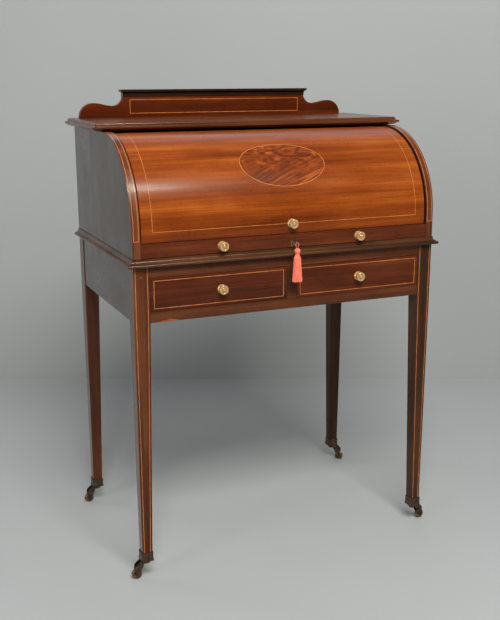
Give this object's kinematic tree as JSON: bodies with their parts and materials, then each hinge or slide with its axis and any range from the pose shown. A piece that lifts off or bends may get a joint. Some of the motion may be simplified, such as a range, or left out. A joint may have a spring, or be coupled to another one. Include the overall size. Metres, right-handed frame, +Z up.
{
  "type": "roll top desk",
  "caption": "Cylinder roll top writing desk on tapered legs with casters: pull-out slide, drawers, pigeonholes, shaped gallery and inlaid stringing.",
  "frame": {"origin": "middle of the desk's width and depth, on the floor under the casters; the depth runs from the tip of the key's bow to the back", "axes": "+Z up, -Y towards the sitter, +X to the sitter's right when facing the desk"},
  "size_m": [0.8074, 0.5215, 1.108],
  "materials": {
    "mahogany": "French polished, red-brown, straight grain",
    "dark_mahogany": "French polished, dark brown",
    "cylinder_mahogany": "French polished, orange-brown, fine straight grain along the length",
    "drawer_mahogany": "French polished, dark red-brown",
    "pine": "bare, aged",
    "boxwood": "inlaid stringing under polish",
    "brass": "worn, unlacquered",
    "bronze": "dark, patinated",
    "wheel_brass": "worn on the tread",
    "steel": "aged",
    "leather": "green, gold-tooled line",
    "coral_thread": "glossy viscose thread"
  },
  "bodies": {
    "carcase": {"leg_front_left": "mahogany", "leg_front_right": "mahogany", "leg_back_left": "mahogany", "leg_back_right": "mahogany", "side_apron_left": "dark_mahogany", "side_apron_right": "dark_mahogany", "back_apron": "dark_mahogany", "drawer_top_rail": "mahogany", "drawer_bottom_rail": "mahogany", "drawer_divider": "mahogany", "drawer_runners": "pine", "carcase_floor": "dark_mahogany", "waist_moulding": "mahogany", "side_panel_left": "mahogany", "side_panel_right": "mahogany", "back_panel": "dark_mahogany", "back_panel_screws": "steel", "top_board": "mahogany", "gallery_board": "mahogany", "gallery_cornice": "dark_mahogany", "slide_bearers": "pine", "pivot_pins": "steel", "caster_cups": "bronze", "fitment_floor": "dark_mahogany", "fitment_uprights": "pine", "fitment_top": "mahogany", "fitment_shelf": "mahogany", "fitment_back": "pine"},
    "cylinder": {"cylinder_fall": "cylinder_mahogany", "cylinder_quadrants": "cylinder_mahogany", "cylinder_knob": "brass", "strike_plate": "brass"},
    "writing_slide": {"slide_front": "dark_mahogany", "slide_board": "mahogany", "slide_leather": "leather", "slide_knobs": "brass", "lock_case": "brass", "escutcheon": "brass"},
    "lock_bolt": {"lock_bolt": "steel"},
    "key": {"key": "steel"},
    "tassel": {"tassel_cord": "coral_thread", "tassel": "coral_thread"},
    "drawer_left": {"drawer_left_front": "drawer_mahogany", "drawer_left_box": "pine", "drawer_left_bottom": "pine", "drawer_left_knob": "brass"},
    "inner_drawer_left": {"inner_drawer_left": "mahogany"},
    "drawer_right": {"drawer_right_front": "drawer_mahogany", "drawer_right_box": "pine", "drawer_right_bottom": "pine", "drawer_right_knob": "brass"},
    "inner_drawer_right": {"inner_drawer_right": "mahogany"},
    "swivel_front_left": {"horn_front_left": "bronze"},
    "wheel_front_left": {"wheel_front_left": "wheel_brass"},
    "swivel_front_right": {"horn_front_right": "bronze"},
    "wheel_front_right": {"wheel_front_right": "wheel_brass"},
    "swivel_back_left": {"horn_back_left": "bronze"},
    "wheel_back_left": {"wheel_back_left": "wheel_brass"},
    "swivel_back_right": {"horn_back_right": "bronze"},
    "wheel_back_right": {"wheel_back_right": "wheel_brass"}
  },
  "joints": [
    {"name": "cylinder_roll", "type": "hinge", "parent": "carcase", "child": "cylinder", "pos_m": [0, -0.0265, 0.817], "axis": [-1, 0, 0], "range_deg": [0, 80]},
    {"name": "slide_pull", "type": "slide", "parent": "carcase", "child": "writing_slide", "axis": [0, -1, 0], "range_m": [0, 0.24]},
    {"name": "key_turn", "type": "hinge", "parent": "writing_slide", "child": "key", "pos_m": [0, -0.2285, 0.772], "axis": [0, -1, 0], "range_deg": [0, 90]},
    {"name": "bolt_throw", "type": "slide", "parent": "writing_slide", "child": "lock_bolt", "axis": [0, 0, 1], "range_m": [0, 0.007]},
    {"name": "tassel_hang", "type": "hinge", "parent": "key", "child": "tassel", "pos_m": [0, -0.2525, 0.772], "axis": [0, -1, 0], "range_deg": [-90, 0]},
    {"name": "drawer_left_pull", "type": "slide", "parent": "carcase", "child": "drawer_left", "axis": [0, -1, 0], "range_m": [0, 0.28]},
    {"name": "drawer_right_pull", "type": "slide", "parent": "carcase", "child": "drawer_right", "axis": [0, -1, 0], "range_m": [0, 0.28]},
    {"name": "inner_drawer_left_pull", "type": "slide", "parent": "carcase", "child": "inner_drawer_left", "axis": [0, -1, 0], "range_m": [0, 0.1]},
    {"name": "inner_drawer_right_pull", "type": "slide", "parent": "carcase", "child": "inner_drawer_right", "axis": [0, -1, 0], "range_m": [0, 0.1]},
    {"name": "swivel_front_left", "type": "hinge", "parent": "carcase", "child": "swivel_front_left", "pos_m": [-0.3657, -0.2142, 0.04], "axis": [0, 0, 1], "continuous": true},
    {"name": "roll_front_left", "type": "hinge", "parent": "swivel_front_left", "child": "wheel_front_left", "pos_m": [-0.3897, -0.2142, 0.012], "axis": [0, -1, 0], "continuous": true},
    {"name": "swivel_front_right", "type": "hinge", "parent": "carcase", "child": "swivel_front_right", "pos_m": [0.3657, -0.2142, 0.04], "axis": [0, 0, 1], "continuous": true},
    {"name": "roll_front_right", "type": "hinge", "parent": "swivel_front_right", "child": "wheel_front_right", "pos_m": [0.38947, -0.21086, 0.012], "axis": [-0.1392, 0.9903, 0], "continuous": true},
    {"name": "swivel_back_left", "type": "hinge", "parent": "carcase", "child": "swivel_back_left", "pos_m": [-0.3657, 0.2392, 0.04], "axis": [0, 0, 1], "continuous": true},
    {"name": "roll_back_left", "type": "hinge", "parent": "swivel_back_left", "child": "wheel_back_left", "pos_m": [-0.38969, 0.23836, 0.012], "axis": [0.0349, -0.9994, 0], "continuous": true},
    {"name": "swivel_back_right", "type": "hinge", "parent": "carcase", "child": "swivel_back_right", "pos_m": [0.3657, 0.2392, 0.04], "axis": [0, 0, 1], "continuous": true},
    {"name": "roll_back_right", "type": "hinge", "parent": "swivel_back_right", "child": "wheel_back_right", "pos_m": [0.38381, 0.22345, 0.012], "axis": [0.6561, 0.7547, 0], "continuous": true}
  ],
  "couplings": [
    {"joint": "key_turn", "follows": "bolt_throw", "rad_per_m": 224.39},
    {"joint": "tassel_hang", "follows": "bolt_throw", "rad_per_m": -224.39}
  ]
}
